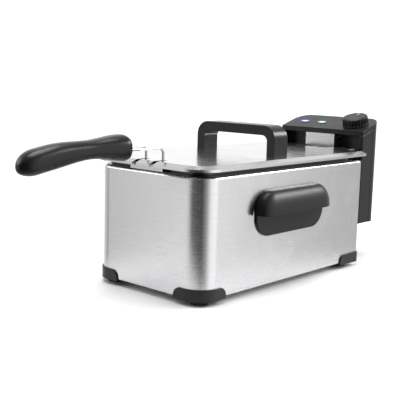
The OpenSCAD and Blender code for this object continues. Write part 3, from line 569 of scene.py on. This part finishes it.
class FRYER_OT_grip(FryerOperator):
    """Models the basket's club-shaped grip"""

    bl_idname = "fryer.grip"
    bl_label = "Basket grip"

    def execute(self, context):
        sizes = context.scene.fryer_handle
        low, high = corners("handle_grip")
        length = high.y - low.y
        wire_z = corners("handle_fork")[1].z - FORK_WIRE_RADIUS
        rear_width = corners("handle_fork")[1].x * 2 + GRIP_CHEEKS
        bm = bmesh.new()
        bmesh.ops.create_cone(bm, cap_ends=True, segments=40, radius1=0.5, radius2=0.5, depth=1.0,
                              matrix=Matrix.Rotation(math.radians(90), 4, "X"))
        runs = [e for e in bm.edges if abs(e.verts[0].co.y - e.verts[1].co.y) > 0.5]
        bmesh.ops.subdivide_edges(bm, edges=runs, cuts=60, use_grid_fill=True)
        for vert in bm.verts:
            # Rings crowd towards the round end, where the outline turns fastest
            t = math.sin((0.5 - vert.co.y) * math.pi / 2)
            if t < NECK_AT:
                fall = (1 + math.cos(math.pi * t / NECK_AT)) / 2
                height = sizes.neck + (sizes.rear - sizes.neck) * fall
            else:
                height = sizes.neck + (sizes.bulb - sizes.neck) * smooth_step((t - NECK_AT) / NECK_AT)
            width = rear_width - (rear_width - sizes.neck_width) * smooth_step(t / NARROW_AT)
            width += (sizes.bulb_width - sizes.neck_width) * smooth_step((t - SWELL_AT) / SWELL_RUN)
            tip = max(0.0, (t - ROUND_AT) / ROUND_RUN)
            closing = math.sqrt(max(0.0, 1 - tip * tip))
            rim = max(0.0, 1 - t / REAR_ROUNDING)
            closing *= 1 - REAR_PINCH * rim * rim
            angle = math.atan2(vert.co.z, vert.co.x)
            cos, sin = math.cos(angle), math.sin(angle)
            x = math.copysign(abs(cos) ** SQUARENESS, cos) * width / 2 * closing
            z = math.copysign(abs(sin) ** SQUARENESS, sin) * height / 2 * closing
            middle = wire_z + GRIP_RISE - sizes.drop * t + sizes.bow * 4 * t * (1 - t)
            vert.co = (x, high.y - length * t, middle + z)
        bmesh.ops.remove_doubles(bm, verts=bm.verts, dist=1e-5)
        bmesh.ops.recalc_face_normals(bm, faces=bm.faces)
        add_piece(bm, "basket_grip", "Handle plastic", "basket", ("handle_grip",),
                  sharp_angle=50.0)
        return {"FINISHED"}


# A hood is straight over this share of its half length, and closes to its end over the rest
HOOD_STRAIGHT, HOOD_END = 0.62, 0.38
# Powers that shape the end, the bulge outwards and the rise, and the reach that is left at the ends
HOOD_END_POWER, HOOD_OUT_POWER, HOOD_UP_POWER = 2.4, 0.9, 0.95
HOOD_LEAST_REACH, HOOD_REST_OF_REACH = 0.12, 0.88


class FRYER_OT_hoods(FryerOperator):
    """Models the scooped hoods of the two carry handles"""

    bl_idname = "fryer.hoods"
    bl_label = "Carry handle hoods"

    def execute(self, context):
        wall = context.scene.fryer_handle.hood_wall
        for side, sign in (("right", 1), ("left", -1)):
            node = "carry_scoop_" + side
            low, high = corners(node)
            middle_y = (low.y + high.y) / 2
            half, rise, reach = (high.y - low.y) / 2, high.z - low.z, high.x - low.x
            foot_x = low.x if sign > 0 else high.x
            bm = bmesh.new()
            bmesh.ops.create_grid(bm, x_segments=56, y_segments=20, size=1.0)
            for vert in bm.verts:
                u, v = vert.co.x, (vert.co.y + 1) / 2
                end = max(0.0, (abs(u) - HOOD_STRAIGHT) / HOOD_END)
                fall = math.sqrt(max(0.0, 1 - end ** HOOD_END_POWER))
                angle = v * math.pi / 2
                share = HOOD_LEAST_REACH + HOOD_REST_OF_REACH * fall
                out = reach * math.sin(angle) ** HOOD_OUT_POWER * share
                up = rise * math.cos(angle) ** HOOD_UP_POWER * fall
                vert.co = (foot_x + sign * out, middle_y + u * half, low.z + up)
            bmesh.ops.remove_doubles(bm, verts=bm.verts, dist=1e-5)
            bmesh.ops.recalc_face_normals(bm, faces=bm.faces)
            piece = add_piece(bm, "carry_hood_" + side, "Black moulding", "housing",
                              (node,), sharp_angle=60.0)
            thick = piece.modifiers.new("Wall", "SOLIDIFY")
            thick.thickness = wall
            thick.offset = -1
            edge = piece.modifiers.new("Rounded lip", "BEVEL")
            edge.width, edge.segments = 0.8 * MM, 2
            edge.angle_limit = math.radians(50)
        return {"FINISHED"}


# Radius of the knob's foot, and its gap above the panel
KNOB_RADIUS, KNOB_LIFT = 21.4 * MM, 0.6 * MM
# The knob's section going up, as shares of the radius and rises in mm: flared foot, straight ribbed
# side, rounded shoulder, flat top
KNOB_SECTION = ((1.0, 1.6), (0.965, 0.6), (0.965, 4.0), (0.965, 4.0), (0.945, 1.6),
                (0.9, 1.0), (0.84, 0.6), (0.8, 0.0))
# Heights between which the side is grooved, and the share of the radius inside which nothing is
GROOVED, UNGROOVED_CORE = (2.0 * MM, 11.2 * MM), 0.5
# Pointer: height of its middle, its distance from the axis, and its size
POINTER_Z, POINTER_OUT = 13.25 * MM, 12 * MM
POINTER_SIZE = (1.5 * MM, 7 * MM, 0.6 * MM)


class FRYER_OT_knob(FryerOperator):
    """Models the ribbed thermostat knob"""

    bl_idname = "fryer.knob"
    bl_label = "Thermostat knob"

    def execute(self, context):
        sizes = context.scene.fryer_knob
        joint = next(j for j in frame["record"]["behaviour"]["joints"] if j["name"] == "knob_turn")
        foot, axis = Vector(joint["pos_m"]), Vector(joint["axis"]).normalized()
        count = sizes.ribs * 8
        bm = bmesh.new()
        bmesh.ops.create_circle(bm, cap_ends=True, segments=count, radius=KNOB_RADIUS)
        bottom = list(bm.faces)
        face = bottom[0]
        for scale, up in KNOB_SECTION:
            made = bmesh.ops.extrude_face_region(bm, geom=[face])
            verts = [v for v in made["geom"] if isinstance(v, bmesh.types.BMVert)]
            if face.is_valid and face is not bottom[0]:
                bmesh.ops.delete(bm, geom=[face], context="FACES_ONLY")
            face = next(f for f in made["geom"] if isinstance(f, bmesh.types.BMFace))
            for vert in verts:
                flat = Vector((vert.co.x, vert.co.y, 0)).normalized() * KNOB_RADIUS * scale
                vert.co = (flat.x, flat.y, vert.co.z + up * MM)
        bmesh.ops.poke(bm, faces=[face])
        for vert in bm.verts:
            share = math.atan2(vert.co.y, vert.co.x) / math.tau * sizes.ribs
            wave = abs(((share % 1.0) - 0.5) * 2)
            outside = math.hypot(vert.co.x, vert.co.y) > KNOB_RADIUS * UNGROOVED_CORE
            if GROOVED[0] < vert.co.z < GROOVED[1] and outside:
                depth = sizes.groove * smooth_step((wave - 0.35) / 0.3)
                shrink = 1 - depth / KNOB_RADIUS
                vert.co.x *= shrink
                vert.co.y *= shrink
        bmesh.ops.recalc_face_normals(bm, faces=bm.faces)
        turn = Vector((0, 0, 1)).rotation_difference(axis).to_matrix().to_4x4()
        place = Matrix.Translation(foot + axis * KNOB_LIFT) @ turn
        bmesh.ops.transform(bm, matrix=place, verts=bm.verts)
        add_piece(bm, "knob_ribbed", "Grey moulding", "knob", ("thermostat_knob",),
                  sharp_angle=40.0)
        pointer = bmesh.new()
        spot = Matrix.Translation((0, POINTER_OUT, POINTER_Z))
        bmesh.ops.create_cube(pointer, size=1.0,
                              matrix=place @ spot @ Matrix.Diagonal((*POINTER_SIZE, 1.0)))
        bmesh.ops.bevel(pointer, geom=pointer.edges[:], offset=0.2 * MM, affect="EDGES", segments=2,
                        profile=0.5, material=-1)
        add_piece(pointer, "knob_pointer", "Ivory plastic", "knob")
        return {"FINISHED"}


NET_CORNER_RADIUS = 20 * MM


class FRYER_OT_net(FryerOperator):
    """Models the basket's wire net"""

    bl_idname = "fryer.net"
    bl_label = "Basket net"

    def execute(self, context):
        sizes = context.scene.fryer_net
        low, high = corners("basket_net")
        size = high - low
        across, along = round(size.x / sizes.pitch), round(size.y / sizes.pitch)
        levels = round(size.z / sizes.pitch)
        middle_x, middle_y = (low.x + high.x) / 2, (low.y + high.y) / 2
        bm = bmesh.new()
        bmesh.ops.create_grid(bm, x_segments=across, y_segments=along, size=0.5)
        for vert in bm.verts:
            vert.co = (middle_x + vert.co.x * size.x, middle_y + vert.co.y * size.y, low.z)
        rim = [e for e in bm.edges if e.is_boundary]
        for _ in range(levels):
            made = bmesh.ops.extrude_edge_only(bm, edges=rim)
            verts = [v for v in made["geom"] if isinstance(v, bmesh.types.BMVert)]
            bmesh.ops.translate(bm, verts=verts, vec=(0, 0, size.z / levels))
            rim = [e for e in made["geom"] if isinstance(e, bmesh.types.BMEdge)
                   and all(v in set(verts) for v in e.verts)]
        for vert in bm.verts:
            dx = max(0.0, abs(vert.co.x - middle_x) - (size.x / 2 - NET_CORNER_RADIUS))
            dy = max(0.0, abs(vert.co.y - middle_y) - (size.y / 2 - NET_CORNER_RADIUS))
            if dx > 0 and dy > 0:
                shrink = max(dx, dy) / math.hypot(dx, dy)
                vert.co.x -= math.copysign(dx * (1 - shrink), vert.co.x - middle_x)
                vert.co.y -= math.copysign(dy * (1 - shrink), vert.co.y - middle_y)
        bmesh.ops.recalc_face_normals(bm, faces=bm.faces)
        bmesh.ops.wireframe(bm, faces=bm.faces[:], thickness=sizes.wire, offset=-0.5 * sizes.wire,
                            use_replace=True, use_boundary=True, use_even_offset=False)
        add_piece(bm, "basket_wire_net", "Chrome", "basket", ("basket_net",), smooth=False)
        return {"FINISHED"}


FLOOR_REACH = 14.0
# Azimuth in degrees and brightness of the studio's walls there, and the brightest of them
WALLS = ((-180, 0.9), (-130, 1.25), (-90, 0.9), (-56, 0.45), (-41, 1.15), (-28, 0.75), (-6, 0.1),
         (48, 0.05), (72, 0.45), (95, 1.35), (122, 1.5), (137, 1.2), (150, 0.5), (180, 0.9))
BRIGHTEST = 1.5


class FRYER_OT_stage(FryerOperator):
    """Sets the floor, the surroundings, the soft lights and the camera"""

    bl_idname = "fryer.stage"
    bl_label = "Stage"

    def execute(self, context):
        settings = context.scene.fryer_stage
        scene = context.scene
        bm = bmesh.new()
        bmesh.ops.create_grid(bm, x_segments=2, y_segments=2, size=FLOOR_REACH)
        mesh = bpy.data.meshes.new("floor")
        bm.to_mesh(mesh)
        bm.free()
        mesh.materials.append(MATERIALS["Floor card"])
        floor = bpy.data.objects.new("floor", mesh)
        scene.collection.objects.link(floor)
        self.surroundings(scene, settings)
        self.softbox("rear softbox", (0.9, 1.25, 0.95), (0.1, 0.0, 0.15), 0.8, 0.4, settings.key)
        self.softbox("front softbox", (-1.45, -0.95, 0.95), (0.0, -0.1, 0.1), 1.0, 0.7, settings.fill)
        self.softbox("top softbox", (-0.1, 0.0, 1.9), (0.0, 0.0, 0.0), 1.4, 1.4, settings.top)
        self.camera(scene, settings)
        scene.view_settings.view_transform = "Standard"
        return {"FINISHED"}

    @staticmethod
    def softbox(name, place, aim, width, height, power):
        """Rectangular light at a place, turned to a point."""
        data = bpy.data.lights.new(name, "AREA")
        data.shape, data.size, data.size_y, data.energy = "RECTANGLE", width, height, power
        light = bpy.data.objects.new(name, data)
        light.location = place
        light.rotation_euler = (Vector(aim) - Vector(place)).to_track_quat("-Z", "Y").to_euler()
        bpy.context.scene.collection.objects.link(light)

    @staticmethod
    def surroundings(scene, settings):
        """Studio walls that reflections see; the camera itself sees plain white."""
        world = bpy.data.worlds.new("white studio")
        world.use_nodes = True
        tree = world.node_tree
        tree.nodes.clear()
        where = node_of(tree, "TexCoord")
        parts = node_of(tree, "SeparateXYZ")
        tree.links.new(where.outputs["Generated"], parts.inputs[0])
        ahead = maths(tree, "MULTIPLY", parts.outputs["Y"], -1.0)
        turn = ramp(tree, -math.pi, math.pi, maths(tree, "ARCTAN2", parts.outputs["X"], ahead))
        walls = node_of(tree, "ValToRGB")
        stops = walls.color_ramp.elements
        stops[0].position, stops[1].position = 0.0, 1.0
        for spot, (degrees, bright) in enumerate(WALLS):
            if spot in (0, len(WALLS) - 1):
                stop = stops[0 if spot == 0 else -1]
            else:
                stop = stops.new((degrees + 180) / 360)
            share = bright / BRIGHTEST
            stop.color = (share, share, share, 1.0)
        tree.links.new(turn, walls.inputs[0])
        overhead = ramp(tree, 0.45, 0.85, parts.outputs["Z"])
        room = mixed(tree, overhead, walls.outputs["Color"], (0.22, 0.22, 0.225))
        room = mixed(tree, ramp(tree, -0.3, -0.7, parts.outputs["Z"]), room, (0.25, 0.25, 0.25))
        seen = node_of(tree, "LightPath")
        shown = mixed(tree, seen.outputs["Is Camera Ray"], room, (0.8, 0.8, 0.8))
        light = node_of(tree, "Background", {"Strength": BRIGHTEST * settings.sky})
        out = node_of(tree, "OutputWorld")
        tree.links.new(shown, light.inputs["Color"])
        tree.links.new(light.outputs[0], out.inputs[0])
        scene.world = world

    @staticmethod
    def camera(scene, settings):
        """Camera from its place, direction and roll."""
        az, el, roll = settings.azimuth, settings.elevation, settings.roll
        back = Vector((math.sin(az) * math.cos(el), -math.cos(az) * math.cos(el), math.sin(el)))
        right = (-back).cross(Vector((0, 0, 1))).normalized()
        up = right.cross(-back)
        rolled_right = math.cos(roll) * right + math.sin(roll) * up
        rolled_up = -math.sin(roll) * right + math.cos(roll) * up
        data = bpy.data.cameras.new("camera")
        data.sensor_width, data.lens = 36.0, settings.lens
        data.clip_end = 60.0
        camera = bpy.data.objects.new("camera", data)
        turn = Matrix((rolled_right, rolled_up, back)).transposed().to_4x4()
        camera.matrix_world = Matrix.Translation(settings.place) @ turn
        scene.collection.objects.link(camera)
        scene.camera = camera


# ---------------------------------------------------------------- panel and registration

STEPS = (FRYER_OT_materials, FRYER_OT_soft_edges, FRYER_OT_grip, FRYER_OT_hoods, FRYER_OT_knob,
         FRYER_OT_net, FRYER_OT_stage)
SETTINGS = {"fryer_finish": FinishSettings, "fryer_handle": HandleSettings, "fryer_knob": KnobSettings,
            "fryer_net": NetSettings, "fryer_stage": StageSettings}


class FRYER_PT_panel(bpy.types.Panel):
    """Lists the fryer's pieces and sizes"""

    bl_idname = "FRYER_PT_panel"
    bl_label = "Deep fryer"
    bl_space_type = "VIEW_3D"
    bl_region_type = "UI"
    bl_category = "Fryer"

    def draw(self, context):
        for step in STEPS:
            self.layout.operator(step.bl_idname)
        for name, group in SETTINGS.items():
            box = self.layout.box()
            for key in group.__annotations__:
                box.prop(getattr(context.scene, name), key)


def register():
    for cls in (*SETTINGS.values(), *STEPS, FRYER_PT_panel):
        bpy.utils.register_class(cls)
    for name, group in SETTINGS.items():
        setattr(bpy.types.Scene, name, PointerProperty(type=group))


def unregister():
    for name in SETTINGS:
        delattr(bpy.types.Scene, name)
    for cls in (FRYER_PT_panel, *reversed(STEPS), *reversed(SETTINGS.values())):
        bpy.utils.unregister_class(cls)


def main():
    register()
    bpy.ops.fryer.materials()
    bpy.ops.fryer.soft_edges()
    bpy.ops.fryer.grip()
    bpy.ops.fryer.hoods()
    bpy.ops.fryer.knob()
    bpy.ops.fryer.net()
    bpy.ops.fryer.stage()
    bpy.context.view_layer.update()


if __name__ == "__main__":
    main()
